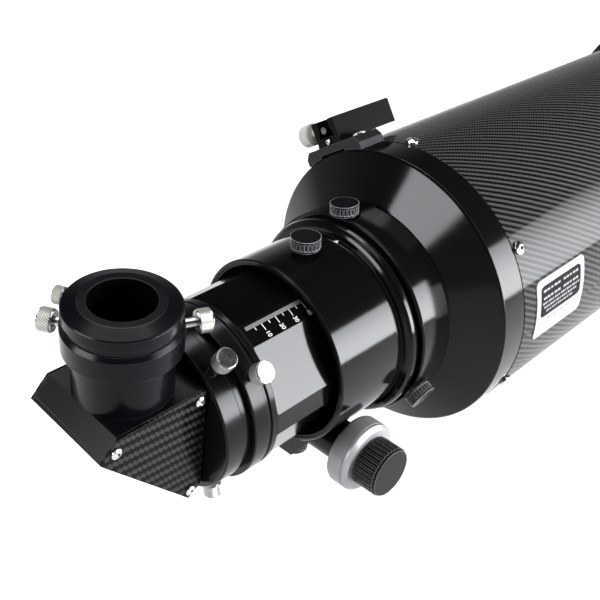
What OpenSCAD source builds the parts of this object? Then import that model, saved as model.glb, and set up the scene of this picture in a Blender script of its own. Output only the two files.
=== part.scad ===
// Refractor telescope: carbon tube, three-element objective in a sliding dew shield, rack focuser with a
// faceted drawtube, mirror star diagonal, finder shoe, hinged tube rings and a dovetail bar.
// +X runs along the optical axis towards the sky, +Y is the observer's left, +Z is up.
// The origin is the middle of the dovetail bar's underside.

/* [Tube] */
// Outside radius of the carbon tube
tube_r = 93.3; // [92.5:0.1:94]
// Wall thickness of the carbon tube
tube_wall = 3; // [2:0.5:4]
// Front end of the carbon tube, measured from the eyepiece axis
tube_front = 990; // [900:10:1100]
// Height of the optical axis above the underside of the dovetail bar
axis_height = 128; // [126:1:150]
// Distance from the eyepiece axis to the middle of the dovetail bar
bar_mid = 720; // [700:5:740]

/* [Dew shield] */
// Inside radius of the dew shield
shield_r = 100.9; // [100.9:0.1:102]
// Wall thickness of the dew shield
shield_wall = 2.6; // [2:0.2:4]
// Length of the dew shield
shield_len = 232; // [210:2:240]

/* [Focuser] */
// Distance across two opposite wide flats of the drawtube
flats_across = 92; // [91.4:0.2:92.4]
// Radius of the round bar that the drawtube's corners lie in
corner_r = 49.8; // [49.7:0.1:50]
// Outside radius of the focuser body
body_r = 57.2; // [56.5:0.1:59]
// Length of drawtube that shows behind the focuser body
drawn_out = 41.5; // [36:0.5:46]
// Distance from the optical axis down to the pinion
pinion_drop = 58; // [57.8:0.1:58.2]
// Radius of the coarse focus knobs
coarse_r = 22.2; // [19:0.1:24]
// Radius of the fine focus knob
fine_r = 15.8; // [13:0.1:17]

/* [Star diagonal] */
// Half the width of the diagonal's body
diag_half = 29; // [28:0.5:31]
// Angle that the diagonal is turned about the optical axis
diag_turn = 6; // [0:1:10]
// Radius of the eyepiece bore (a 31.75 mm barrel)
eyepiece_bore_r = 15.93; // [15.9:0.01:16]

/* [Tube rings] */
// Outside radius of the tube rings
ring_r = 107; // [105:1:110]
// Width of a tube ring along the tube
ring_w = 20; // [18:1:26]
// Distance between the two rings, middle to middle
ring_gap = 160; // [150:5:200]
// Length of the dovetail bar
bar_len = 320; // [300:10:340]

/* [Hidden] */
$fn = 96;

gap = 0.3;            // clearance between parts that move past each other
tube_in = tube_r - tube_wall;
seam_x = 226;         // rear end of the carbon tube
cell_cone_x = 205.7;  // where the rear cell's cone meets its band
cell_rear_x = 189.4;  // rear face of the rear cell
cell_neck_r = 64;
body_rear_x = 103;
body_front_x = 154;
ring_front_x = 164;   // front face of the focuser's rounded ring
flange_x = body_rear_x - drawn_out;  // front face of the drawtube's end ring
end_ring_len = 16;
end_ring_x = flange_x - end_ring_len;
collar_rear_x = 28.7;
collar_front_x = 40.6;
collar_r = 47;
flat_d = flats_across / 2;
facet_d = flat_d * cos(30) + sqrt(corner_r * corner_r - flat_d * flat_d) * sin(30);
drawtube_end_x = 190;
drawtube_in = 41;
body_in = corner_r + 0.65;
spigot_r = 58;        // rotating spigot inside the rotator
rotator_r = 65.6;
pinion_x = 127.7;
gear_module = 1;
gear_teeth = 16;
gear_pitch_r = gear_module * gear_teeth / 2;
rack_pitch_z = -pinion_drop + gear_pitch_r;
shaft_r = 4;
housing_tube_r = 12.6;
housing_tube_y = 46;
holder_base_z = 34;
holder_band_z = 60;
holder_top_z = 72;
nose_r = 25.37;
socket_r = 25.43;
shield_rear_x = tube_front - 130;
shield_front_x = shield_rear_x + shield_len;
cell_r = 97;
cell_front_x = tube_front + 72;
lens_r = 86;
foot_z = -112;
bar_top_w = 92;
bar_bottom_w = 101.6;
finder_turn = 58;     // angle of the finder shoe round the tube from +Y
hinge_y = 114;
knob_screw_r = 2.5;

// ---------- placing ----------

// Puts a shape that is drawn round the optical axis, X from the eyepiece axis, into the part's frame
module on_axis(x = 0) {
    translate([x - bar_mid, 0, axis_height]) children();
}

// Puts a shape that is drawn in the star diagonal's own frame into the part's frame
module on_diagonal() {
    on_axis() rotate([diag_turn, 0, 0]) children();
}

// Turns a shape drawn along +Z so that it lies along +X
module along_x() {
    rotate([0, 90, 0]) children();
}

// Stands a shape drawn along +Z on the optical axis at a radius and an angle from +Y
module radial(angle, r = 0) {
    rotate([angle - 90, 0, 0]) translate([0, 0, r]) children();
}

// A ring or a tube along +X from x0 to x1
module tube_x(x0, x1, r_out, r_in) {
    along_x() translate([0, 0, x0]) difference() {
        cylinder(h = x1 - x0, r = r_out);
        translate([0, 0, -1]) cylinder(h = x1 - x0 + 2, r = r_in);
    }
}

// Turns a profile of [x, r] points about the optical axis
module turned(points) {
    along_x() rotate_extrude() polygon([for (p = points) [p[1], p[0]]]);
}

// ---------- screws and knobs ----------

// Domed screw head with a hexagon socket, standing on z = 0
module domed_screw(r, h, shank = 3) {
    difference() {
        intersection() {
            cylinder(h = h, r = r);
            translate([0, 0, h - 1.7 * r]) sphere(r = 1.7 * r);
        }
        translate([0, 0, h * 0.45]) cylinder(h = h, r = r * 0.45, $fn = 6);
    }
    if (shank > 0) translate([0, 0, -shank]) cylinder(h = shank + 0.01, r = r * 0.5);
}

// Thumbscrew with a plain stem, its head turned and shouldered, along +Z from the face it enters
module thumbscrew(stem, head_r, head_len, depth) {
    translate([0, 0, -depth]) cylinder(h = depth + stem + 1, r = knob_screw_r, $fn = 48);
    translate([0, 0, stem]) cylinder(h = head_len, r = head_r - 0.6);
    translate([0, 0, stem + 0.8]) cylinder(h = head_len - 1.6, r = head_r);
}

// Black thumb knob with flutes round the rim and a stem, along +Z
module fluted_knob(stem, head_r, head_len, depth, flutes = 24) {
    translate([0, 0, -depth]) cylinder(h = depth + stem + 1, r = knob_screw_r, $fn = 48);
    translate([0, 0, 0.4]) cylinder(h = stem, r = head_r * 0.55);
    translate([0, 0, stem]) difference() {
        cylinder(h = head_len, r = head_r);
        for (i = [0 : flutes - 1]) {
            rotate([0, 0, i * 360 / flutes]) translate([head_r + 0.35, 0, 1.2])
                cylinder(h = head_len - 2.6, r = 0.8, $fn = 16);
        }
    }
}

// ---------- drawtube section ----------

// Six wide flats cut on a round bar, with the six corners cut to narrow facets
module drawtube_section(grow = 0) {
    intersection_for (i = [0 : 5]) {
        rotate([0, 0, i * 60]) translate([-flat_d - grow, -corner_r - 5])
            square([2 * flat_d + 2 * grow, 2 * corner_r + 10]);
    }
}

module facet_section(grow = 0) {
    intersection() {
        drawtube_section(grow);
        rotate([0, 0, 30]) intersection_for (i = [0 : 5]) {
            rotate([0, 0, i * 60]) translate([-facet_d - grow, -corner_r - 5])
                square([2 * facet_d + 2 * grow, 2 * corner_r + 10]);
        }
    }
}

// The section turned so that one wide flat is on top, extruded along +X
module drawtube_bar(x0, x1, grow = 0) {
    translate([x0, 0, 0]) along_x() linear_extrude(height = x1 - x0) facet_section(grow);
}

// ---------- optical tube ----------

tube_screw_r = 4.2;
tube_screw_turn = -4.8;

// Puts a shape at each of the screws round the two ends of the carbon tube
module at_tube_screws() {
    for (x = [seam_x + 5, tube_front - 5]) {
        for (i = [0 : 5]) {
            translate([x, 0, 0]) radial(90 + tube_screw_turn + i * 60, tube_r + 0.02) children();
        }
    }
}

module main_tube() {
    color("#2b2a2b") on_axis() difference() {
        tube_x(seam_x, tube_front, tube_r, tube_in);
        at_tube_screws() translate([0, 0, -10]) cylinder(h = 20, r = tube_screw_r / 2 + 0.03, $fn = 24);
    }
}

module rear_cell() {
    band_r = tube_r - 0.3;
    color("#141416") on_axis() turned([
        [cell_rear_x, spigot_r + 2], [cell_rear_x, cell_neck_r], [cell_rear_x + 1.2, cell_neck_r + 1.2],
        [cell_cone_x - 1, band_r - 1.2], [cell_cone_x, band_r], [seam_x - 0.4, band_r],
        [seam_x, band_r - 0.4], [seam_x, tube_in], [seam_x + 22, tube_in], [seam_x + 22, tube_in - 4],
        [cell_cone_x + 4, tube_in - 4], [cell_rear_x + 5, spigot_r + 2]
    ]);
}

module tube_screws() {
    color("#c9c9cc") on_axis() at_tube_screws() domed_screw(tube_screw_r, 2.6, tube_wall - 0.3);
}

// Knife-edge light baffles inside the tube
module baffles() {
    color("#0c0c0d") on_axis() for (b = [[360, 58], [520, 65], [680, 71], [840, 77]]) {
        turned([[b[0], b[1]], [b[0] + 2.5, b[1] + 3], [b[0] + 2.5, tube_in - 1.5], [b[0] + 8, tube_in - 1.5],
            [b[0] + 8, tube_in], [b[0], tube_in]]);
    }
}

module objective_cell() {
    color("#161618") on_axis() turned([
        [tube_front - 16, tube_in - 4], [tube_front - 16, tube_in], [tube_front, tube_in],
        [tube_front, cell_r - 0.8], [tube_front + 0.8, cell_r], [cell_front_x - 1, cell_r],
        [cell_front_x, cell_r - 1], [cell_front_x, lens_r + 2], [tube_front + 60, lens_r + 2],
        [tube_front + 60, lens_r + 0.15], [tube_front + 15, lens_r + 0.15], [tube_front + 15, lens_r - 3],
        [tube_front + 9, lens_r - 3]
    ]);
}

// A lens between two spherical faces: centre thickness, and the sag of each face (positive bulges outwards)
module lens(x, thick, sag_rear, sag_front) {
    steps = 10;
    front = [for (i = [0 : steps]) [x + thick - sag_front * pow(i / steps, 2), lens_r * i / steps]];
    rear = [for (i = [steps : -1 : 0]) [x + sag_rear * pow(i / steps, 2), lens_r * i / steps]];
    turned(concat(front, rear));
}

module lens_rear() {
    color("#bfe3d8", 0.35) on_axis() lens(tube_front + 11, 13, 4.5, 3.2);
}

module lens_middle() {
    color("#c6dcea", 0.35) on_axis() lens(tube_front + 24.4, 9, -3.2, -3.4);
}

module lens_front() {
    color("#b9e0cf", 0.35) on_axis() lens(tube_front + 33.8, 16, 3.4, 4.5);
}

module retaining_ring() {
    color("#101012") on_axis() difference() {
        turned([[tube_front + 46, lens_r - 3.5], [tube_front + 46, lens_r + 0.13],
            [tube_front + 60, lens_r + 0.13], [tube_front + 60, lens_r + 1.9],
            [tube_front + 63, lens_r + 1.9], [tube_front + 63, lens_r + 1], [tube_front + 51, lens_r - 3.5]]);
        for (i = [0 : 3]) {
            translate([tube_front + 61, 0, 0]) radial(i * 90 + 45, lens_r - 1)
                translate([-1.5, -2.5, 0]) cube([6, 5, 6]);
        }
    }
}

// Felt bands on the cell that the dew shield slides on
module shield_felt() {
    color("#1b1b1b") on_axis() for (x = [8, 52]) {
        tube_x(tube_front + x, tube_front + x + 12, shield_r - gap, cell_r);
    }
}

module dew_shield() {
    out_r = shield_r + shield_wall;
    color("#1a1a1d") on_axis() difference() {
        turned([
            [shield_rear_x, shield_r], [shield_rear_x, out_r + 0.8], [shield_rear_x + 1, out_r + 1.8],
            [shield_rear_x + 13, out_r + 1.8], [shield_rear_x + 14, out_r], [shield_front_x - 16, out_r],
            [shield_front_x - 15, out_r + 1.8], [shield_front_x - 1.5, out_r + 1.8],
            [shield_front_x, out_r + 0.4], [shield_front_x, shield_r + 0.8], [shield_front_x - 0.8, shield_r]
        ]);
        translate([shield_rear_x + 7, 0, 0]) radial(90) cylinder(h = 200, r = knob_screw_r + 0.03);
    }
}

module shield_lock_screw() {
    color("#d0d0d2") on_axis(shield_rear_x + 7) radial(90, shield_r + shield_wall + 1.8)
        thumbscrew(3, 7, 9, 5);
}

module label_plate() {
    color("#d8d8da") on_axis() intersection() {
        tube_x(236, 300, tube_r + 0.45, tube_r);
        radial(173.2, 60) linear_extrude(height = 60) translate([267.2, 0]) offset(r = 4, $fn = 32)
            square([48.5, 32], center = true);
    }
}

// ---------- finder shoe ----------

module at_finder() {
    on_axis() rotate([finder_turn - 90, 0, 0]) children();
}

module finder_base() {
    base_top = tube_r + 5.7;
    color("#1c1c1f") at_finder() difference() {
        translate([205, -25, tube_r - 8]) cube([22, 50, base_top - tube_r + 8]);
        along_x() cylinder(h = 400, r = tube_r);
        translate([200, -11, tube_r - 9]) cube([32, 22, 9.8]);
        for (side = [-1, 1]) {
            translate([216, side * 16.5, base_top - 20]) cylinder(h = 30, r = 2.43);
        }
        for (side = [-1, 1]) {
            translate([200, side * 30, base_top + 2.2]) rotate([side * 40, 0, 0])
                translate([0, -8, -4]) cube([32, 16, 8]);
        }
    }
}

// Two screws in the ears of the base and a small stop screw in the shoe's rear end
module finder_screws() {
    color("#d2d2d4") at_finder() {
        for (side = [-1, 1]) {
            translate([216, side * 16.5, tube_r + 5.72]) domed_screw(4.8, 2.6, 3.6);
        }
        translate([205, 0, shoe_z0 + 2.3]) rotate([0, -90, 0]) domed_screw(1.8, 1.4, 3);
    }
}

shoe_half = 10.3;
shoe_z0 = tube_r + 5.7;
shoe_h = 16.2;

module finder_shoe() {
    color("#17171a") at_finder() difference() {
        translate([205, -shoe_half, shoe_z0]) cube([54, 2 * shoe_half, shoe_h]);
        translate([200, 0, shoe_z0 + 5]) rotate([90, 0, 90]) linear_extrude(height = 70)
            polygon([[-7.4, 0], [7.4, 0], [5.4, 5], [5.4, 20], [-5.4, 20], [-5.4, 5]]);
        translate([209.5, 0, shoe_z0 + 10.2]) rotate([-90, 0, 0]) cylinder(h = 30, r = knob_screw_r + 0.03);
        translate([204, 0, shoe_z0 + 2.3]) along_x() cylinder(h = 4.2, r = 0.93, $fn = 24);
        translate([258, -20, shoe_z0 + shoe_h]) rotate([0, 45, 0]) cube([4, 40, 4]);
    }
}

module finder_thumbscrew() {
    color("#dcdcde") at_finder() translate([209.5, shoe_half, shoe_z0 + 10.2]) rotate([-90, 0, 0])
        thumbscrew(4, 7.2, 9, 4.4);
}

// ---------- rotator ----------

module rotator() {
    color("#151517") on_axis() difference() {
        turned([[ring_front_x, spigot_r + 0.05], [ring_front_x, rotator_r - 0.8],
            [ring_front_x + 0.8, rotator_r], [cell_rear_x - 0.8, rotator_r], [cell_rear_x, rotator_r - 0.8],
            [cell_rear_x, spigot_r + 2], [cell_rear_x + 5, spigot_r + 2], [cell_rear_x + 5, 54],
            [cell_rear_x - 9, 54], [cell_rear_x - 9, spigot_r + 0.05]]);
        for (a = rotator_knob_angles) {
            translate([rotator_knob_x, 0, 0]) radial(a) cylinder(h = 100, r = knob_screw_r + 0.03);
            translate([rotator_knob_x, 0, 0]) radial(a, rotator_r - 1.4) cylinder(h = 10, r = 9.6);
        }
    }
}

rotator_knob_x = 168.5;
rotator_knob_angles = [85, 205, 325];

module rotator_knob(angle) {
    color("#1f1f22") on_axis(rotator_knob_x) radial(angle, rotator_r - 1.4) fluted_knob(2.2, 8.6, 6.6, 5);
}

module rotator_knob_top() {
    rotator_knob(rotator_knob_angles[0]);
}

module rotator_knob_near() {
    rotator_knob(rotator_knob_angles[1]);
}

module rotator_knob_far() {
    rotator_knob(rotator_knob_angles[2]);
}

// ---------- focuser body ----------

focus_ring_r = 63.4;
ring_steps = 8;

module focuser_body() {
    half = (ring_front_x - body_front_x) / 2;
    color("#161619") on_axis() difference() {
        turned(concat(
            [[body_rear_x, body_r - 2.2], [body_rear_x, body_r - 0.7], [body_rear_x + 0.7, body_r],
                [body_front_x, body_r]],
            [for (i = [0 : ring_steps]) [body_front_x + half - half * cos(i * 180 / ring_steps),
                focus_ring_r - 5.5 + 5.5 * sin(i * 180 / ring_steps)]],
            [[ring_front_x, spigot_r], [cell_rear_x - 9.3, spigot_r], [cell_rear_x - 9.3, body_in],
                [body_rear_x + 15, body_in], [body_rear_x + 15, body_r - 2.2]]
        ));
        translate([pinion_x - 11, -11, -72]) cube([22, 22, 30]);
        translate([pinion_x, 0, -pinion_drop]) rotate([90, 0, 0])
            cylinder(h = 60, r = shaft_r + 0.5, center = true);
        translate([body_rear_x, -5.2, -52]) cube([100, 10.4, 10]);
        translate([pinion_x + 2, 0, 0]) radial(90) cylinder(h = 100, r = knob_screw_r + 0.03);
    }
}

// Dished rear ring with a faceted opening that the drawtube passes through
module rear_bezel() {
    rack_slot = 5;
    color("#1a1a1d") on_axis() difference() {
        turned([[body_rear_x + 0.6, body_r - 3.4], [body_rear_x + 0.6, body_r - 2.25],
            [body_rear_x + 15, body_r - 2.25], [body_rear_x + 15, 40], [body_rear_x + 11, 40],
            [body_rear_x + 11, flat_d + 0.2]]);
        drawtube_bar(body_rear_x - 5, body_rear_x + 20, gap);
        translate([body_rear_x - 5, -rack_slot, rack_pitch_z - 1.4]) cube([30, 2 * rack_slot, 10]);
    }
}

// Pads in the body that the drawtube's flats run on, and the two bushes of the pinion's shaft
module focuser_bearings() {
    color("#b08d4a") on_axis() {
        for (a = [30, 90, 150]) {
            translate([122, 0, 0]) radial(a, flat_d + gap) translate([0, -7, 0]) intersection() {
                cube([24, 14, 6]);
                translate([0, 7, -flat_d - gap]) along_x() cylinder(h = 24, r = body_in);
            }
        }
        for (side = [-1, 1]) {
            translate([pinion_x, side * (housing_tube_y - 6.5), -pinion_drop]) rotate([90, 0, 0])
                difference() {
                    cylinder(h = 12, r = 8, center = true);
                    cylinder(h = 20, r = shaft_r + 0.05, center = true);
                }
        }
    }
}

module drawtube_lock_knob() {
    color("#1f1f22") on_axis(pinion_x + 2) radial(90, body_r) fluted_knob(3, 8.8, 6.8, 6);
}

module pinion_housing() {
    color("#17171a") on_axis(pinion_x) difference() {
        union() {
            translate([-21, -17, -71]) cube([42, 34, 29]);
            translate([0, 0, -pinion_drop]) rotate([90, 0, 0])
                cylinder(h = 2 * housing_tube_y, r = housing_tube_r, center = true);
            translate([0, 0, -77]) cylinder(h = 8, r = 8);
        }
        translate([-60, 0, 0]) along_x() cylinder(h = 120, r = body_r);
        translate([0, 0, -pinion_drop]) rotate([90, 0, 0]) cylinder(h = 200, r = 8, center = true);
        translate([-10, -9, -67.6]) cube([20, 18, 30]);
        translate([0, 0, -90]) cylinder(h = 25, r = knob_screw_r + 0.03);
        for (x = [-16, 16]) {
            for (y = [-13, 13]) {
                translate([x, y, -72]) cylinder(h = 3.4, r = 3.2);
            }
        }
    }
}

module housing_screws() {
    color("#c9c9cc") on_axis(pinion_x) for (x = [-16, 16]) {
        for (y = [-13, 13]) {
            translate([x, y, -68.6]) rotate([180, 0, 0]) domed_screw(3, 2.6, 0);
        }
    }
}

module tension_knob() {
    color("#1f1f22") on_axis(pinion_x) translate([0, 0, -77]) rotate([180, 0, 0])
        fluted_knob(1.6, 8.6, 8, 8);
}

// ---------- pinion and knobs ----------

// Outline of the pinion with plain tapered teeth
module pinion_outline() {
    root_r = gear_pitch_r - 1.15;
    tip_r = gear_pitch_r + 0.85;
    pitch_angle = 360 / gear_teeth;
    polygon([for (i = [0 : gear_teeth - 1]) for (p = [[-0.24, root_r], [-0.085, tip_r], [0.085, tip_r], [0.24, root_r]])
        p[1] * [cos((i + p[0]) * pitch_angle), sin((i + p[0]) * pitch_angle)]]);
}

module on_pinion_axis() {
    on_axis(pinion_x) translate([0, 0, -pinion_drop]) rotate([90, 0, 0]) children();
}

// Shaft and gear; local +Z points to the observer's right
module pinion() {
    color("#b9babd") on_pinion_axis() {
        translate([0, 0, -58]) cylinder(h = 115, r = shaft_r - 0.01);
        translate([0, 0, -7]) linear_extrude(height = 14) rotate([0, 0, 90]) pinion_outline();
    }
}

// Straight-knurled band: a round bar with shallow grooves
module grooved_band(r, h, count, groove_r) {
    difference() {
        cylinder(h = h, r = r);
        for (i = [0 : count - 1]) {
            rotate([0, 0, i * 360 / count]) translate([r + groove_r * 0.45, 0, -1])
                cylinder(h = h + 2, r = groove_r, $fn = 14);
        }
    }
}

module coarse_knob() {
    difference() {
        union() {
            translate([0, 0, 46.6]) cylinder(h = 1.6, r = coarse_r - 0.8);
            translate([0, 0, 48]) cylinder(h = 9.2, r = coarse_r);
            translate([0, 0, 57.1]) cylinder(h = 0.7, r = coarse_r - 0.4);
            translate([0, 0, 57.7]) cylinder(h = 1.4, r1 = coarse_r, r2 = coarse_r - 0.3);
            translate([0, 0, 59.1]) cylinder(h = 2.1, r1 = coarse_r - 0.3, r2 = coarse_r - 2.6);
        }
        translate([0, 0, 40]) cylinder(h = 30, r = shaft_r);
        translate([0, 0, 58.2]) cylinder(h = 5, r = fine_r - 1.2);
    }
}

module coarse_knob_near() {
    color("#c8c8cb") on_pinion_axis() coarse_knob();
}

module coarse_knob_far() {
    color("#c8c8cb") on_pinion_axis() mirror([0, 0, 1]) {
        coarse_knob();
        translate([0, 0, 58.2]) cylinder(h = 2, r = fine_r - 1.2);
    }
}

module fine_knob() {
    color("#242427") on_pinion_axis() {
        translate([0, 0, 58.5]) cylinder(h = 4, r = 6);
        translate([0, 0, 58.7]) cylinder(h = 3.4, r = fine_r - 1.6);
        translate([0, 0, 61.9]) grooved_band(fine_r, 14.3, 32, 1);
        translate([0, 0, 76.1]) cylinder(h = 1.6, r1 = fine_r, r2 = fine_r - 1);
    }
}

// ---------- drawtube ----------

module drawtube() {
    color("#19191c") on_axis() difference() {
        drawtube_bar(flange_x, drawtube_end_x);
        translate([flange_x - 1, 0, 0]) along_x() cylinder(h = 200, r = drawtube_in);
    }
}

// Toothed rack under the drawtube
module rack() {
    pitch = PI * gear_module;
    teeth = 36;
    grooves_behind = 18;
    first = pinion_x - (grooves_behind + 0.5) * pitch;
    tip_z = rack_pitch_z - 0.6;
    color("#9a9a9d") on_axis() difference() {
        translate([first, -4.5, tip_z]) cube([teeth * pitch, 9, -flat_d - tip_z]);
        for (i = [0 : teeth - 1]) {
            translate([first + (i + 0.5) * pitch, 0, rack_pitch_z]) rotate([90, 0, 0])
                linear_extrude(height = 10, center = true)
                    polygon([[-1.2, -1.2], [1.2, -1.2], [0.55, 1.3], [-0.55, 1.3]]);
        }
    }
}

module end_ring() {
    color("#151517") on_axis() difference() {
        turned([[end_ring_x, collar_neck_r + gap], [end_ring_x, corner_r - 0.6], [end_ring_x + 0.6, corner_r],
            [end_ring_x + 9.6, corner_r], [end_ring_x + 10.2, corner_r - 1.2],
            [end_ring_x + 11.6, corner_r - 1.2], [end_ring_x + 12.2, corner_r],
            [flange_x - 0.6, corner_r], [flange_x, corner_r - 0.6], [flange_x, 36],
            [flange_x - 3, 36], [flange_x - 3, collar_neck_r + gap]]);
        for (p = end_ring_screws) {
            translate([p[0], 0, 0]) radial(p[1]) cylinder(h = 100, r = knob_screw_r + 0.03);
        }
    }
}

collar_neck_r = 43.8;
end_ring_screws = [[end_ring_x + 5, 141], [end_ring_x + 3.5, 261]];
collar_angles = [128, 8];
collar_screw_x = 35;
screw_seat_r = 50;

// Silver thumbscrew with a stem, standing on the rim of the end ring or the collar
module socket_screw(place, depth, stem = 7.6) {
    color("#d6d6d8") on_axis(place[0]) radial(place[1], screw_seat_r) thumbscrew(stem, 5.6, 8.2, depth);
}

module end_ring_screw() {
    socket_screw(end_ring_screws[0], 5.6);
}

module end_ring_screw_low() {
    socket_screw(end_ring_screws[1], 5.6, 10.4);
}

module collar_screw_near() {
    socket_screw([collar_screw_x, collar_angles[0]], screw_seat_r - socket_r - 1.6);
}

module collar_screw_far() {
    socket_screw([collar_screw_x, collar_angles[1]], screw_seat_r - socket_r - 1.6);
}

// Two-inch socket, held in the end ring
module collar() {
    color("#151517") on_axis() difference() {
        turned([[collar_rear_x, socket_r + 1], [collar_rear_x, collar_r - 0.8], [collar_rear_x + 0.8, collar_r],
            [collar_front_x - 0.6, collar_r], [collar_front_x, collar_r - 0.6],
            [collar_front_x, 46], [end_ring_x - gap, 46], [end_ring_x - gap, collar_neck_r],
            [flange_x - 3 - gap, collar_neck_r], [flange_x - 3 - gap, socket_r], [collar_screw_x + 4.5, socket_r],
            [collar_screw_x + 4.5, socket_r + 1.6], [collar_screw_x - 4.5, socket_r + 1.6],
            [collar_screw_x - 4.5, socket_r], [collar_rear_x + 1, socket_r]]);
        for (a = collar_angles) {
            translate([collar_screw_x, 0, 0]) radial(a) cylinder(h = 100, r = knob_screw_r + 0.03);
        }
    }
}

// Split brass ring that the collar's screws press on the barrel
module collar_clamp_ring() {
    color("#b08d4a") on_axis() difference() {
        tube_x(collar_screw_x - 4.3, collar_screw_x + 4.3, socket_r + 1.55, socket_r + 0.05);
        translate([0, socket_r - 2, -1]) cube([100, 6, 2]);
    }
}

// ---------- star diagonal ----------

diag_top = 34;
diag_front = 28;
diag_outline = [[-24, diag_top], [diag_front, diag_top], [diag_front, -33], [20, -39], [-34, 23]];
mirror_thick = 5.5;
light_way_r = 22;

// Prism of the diagonal's outline between two Y planes
module diag_prism(y0, y1) {
    translate([0, y1, 0]) rotate([90, 0, 0]) linear_extrude(height = y1 - y0) polygon(diag_outline);
}

// Half space behind the mirror's back, in the diagonal's frame
module behind_mirror(distance) {
    rotate([0, -45, 0]) translate([-distance - 60, -60, -60]) cube([60, 120, 120]);
}

module diag_body() {
    color("#1b1b20") on_diagonal() difference() {
        diag_prism(-diag_half + 1.6, diag_half - 1.6);
        difference() {
            translate([-50, 0, 0]) along_x() cylinder(h = 100, r = light_way_r);
            behind_mirror(0);
        }
        difference() {
            translate([0, 0, -50]) cylinder(h = 100, r = light_way_r);
            behind_mirror(0);
        }
        rotate([0, -45, 0]) translate([-mirror_thick - 0.1, -24.05, -32.05]) cube([mirror_thick + 0.2, 48.1, 64.1]);
        behind_mirror(mirror_thick);
        translate([diag_front - 4, 0, 0]) along_x() cylinder(h = 10, r = nose_r);
    }
}

// Flat mirror at 45 degrees, its face through the crossing of the two axes
module diag_mirror() {
    color("#e8ecef") on_diagonal() rotate([0, -45, 0]) translate([-mirror_thick, -24, -32])
        cube([mirror_thick, 48, 64]);
}

// Slanted cover behind the mirror
module diag_cover() {
    color("#1b1b20") on_diagonal() intersection() {
        diag_prism(-diag_half + 1.6, diag_half - 1.6);
        behind_mirror(mirror_thick + 0.05);
    }
}

module diag_nose() {
    nose_end = 57.4;
    color("#1c1c20") on_diagonal() difference() {
        turned([[diag_front - 4, light_way_r], [diag_front - 4, nose_r], [nose_end - 0.6, nose_r],
            [nose_end, nose_r - 0.6], [nose_end, light_way_r]]);
        along_x() cylinder(h = 100, r = light_way_r - 0.1);
    }
}

side_screw_places = [[-25.6, 26.4], [24.2, 29.6], [20.6, -32.6]];

// Puts a shape at each of the three screws of a side plate, standing on the plate
module at_side_screws(side) {
    for (p = side_screw_places) {
        translate([p[0], side * diag_half, p[1]]) rotate([-side * 90, 0, 0]) children();
    }
}

module side_plates() {
    color("#2f3032") on_diagonal() for (side = [-1, 1]) {
        y = side > 0 ? diag_half - 1.6 : -diag_half;
        difference() {
            diag_prism(y, y + 1.6);
            at_side_screws(side) cylinder(h = 8, r = 1.53, center = true, $fn = 24);
        }
    }
}

module side_plate_screws() {
    color("#d2d2d4") on_diagonal() for (side = [-1, 1]) {
        at_side_screws(side) domed_screw(3, 2, 1.4);
    }
}

holder_screw_angles = [-22, 125];
holder_screw_z = 65;

module eyepiece_holder() {
    color("#1a1a1f") on_diagonal() difference() {
        rotate_extrude() polygon([
            [light_way_r, holder_base_z], [25, holder_base_z], [25, holder_band_z - 3.2],
            [29, holder_band_z], [29, holder_top_z - 0.4], [27.2, holder_top_z + 1.8], [socket_r, holder_top_z + 1.8],
            [socket_r, holder_screw_z + 4], [socket_r + 1.4, holder_screw_z + 4],
            [socket_r + 1.4, holder_screw_z - 4], [socket_r, holder_screw_z - 4],
            [socket_r, holder_band_z], [light_way_r, holder_band_z - 3]
        ]);
        for (a = holder_screw_angles) {
            translate([0, 0, holder_screw_z]) rotate([0, 90, a]) cylinder(h = 60, r = knob_screw_r + 0.03);
        }
    }
}

module holder_clamp_ring() {
    color("#b08d4a") on_diagonal() difference() {
        translate([0, 0, holder_screw_z - 3.9]) cylinder(h = 7.8, r = socket_r + 1.35);
        translate([0, 0, holder_screw_z - 5]) cylinder(h = 10, r = socket_r + 0.05);
        translate([0, -40, holder_screw_z - 5]) cube([1.5, 20, 10]);
    }
}

module holder_screw(angle, stem) {
    color("#d6d6d8") on_diagonal() translate([0, 0, holder_screw_z]) rotate([0, 90, angle])
        translate([0, 0, 29]) thumbscrew(stem, 6.1, 7.4, 29 - socket_r - 1.4);
}

module holder_screw_front() {
    holder_screw(holder_screw_angles[0], 6.8);
}

module holder_screw_rear() {
    holder_screw(holder_screw_angles[1], 4.2);
}

adapter_z0 = 77;
adapter_z1 = 85.6;
adapter_screw_angle = 120;
adapter_screw_z = 78.8;

// Reducer from the two-inch socket to the 31.75 mm eyepiece
module eyepiece_adapter() {
    color("#1d1d24") on_diagonal() difference() {
        rotate_extrude() polygon([
            [eyepiece_bore_r, holder_band_z + 0.5], [nose_r, holder_band_z + 0.5], [nose_r, holder_top_z + 2.1],
            [26.8, holder_top_z + 2.1], [26.8, adapter_z0], [27.5, adapter_z0], [28.1, adapter_z0 + 0.6],
            [28.1, adapter_z1 - 2.8], [27.5, adapter_z1 - 2.1], [20.8, adapter_z1], [eyepiece_bore_r + 0.6, adapter_z1],
            [eyepiece_bore_r, adapter_z1 - 0.6]
        ]);
        translate([0, 0, adapter_screw_z]) rotate([0, 90, adapter_screw_angle]) cylinder(h = 60, r = 1.53);
    }
}

module adapter_screw() {
    stem_in = eyepiece_bore_r + 0.3;
    color("#d6d6d8") on_diagonal() translate([0, 0, adapter_screw_z]) rotate([0, 90, adapter_screw_angle]) {
        translate([0, 0, stem_in]) cylinder(h = 29 - stem_in, r = 1.5, $fn = 48);
        translate([0, 0, 28.6]) cylinder(h = 5.2, r = 4);
        translate([0, 0, 29.2]) cylinder(h = 4, r = 4.6);
    }
}

// ---------- tube rings and bar ----------

ring_in = tube_r + gap;
knuckle_r = 7;
clamp_y = -118;
bolt_y = 20;

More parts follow.
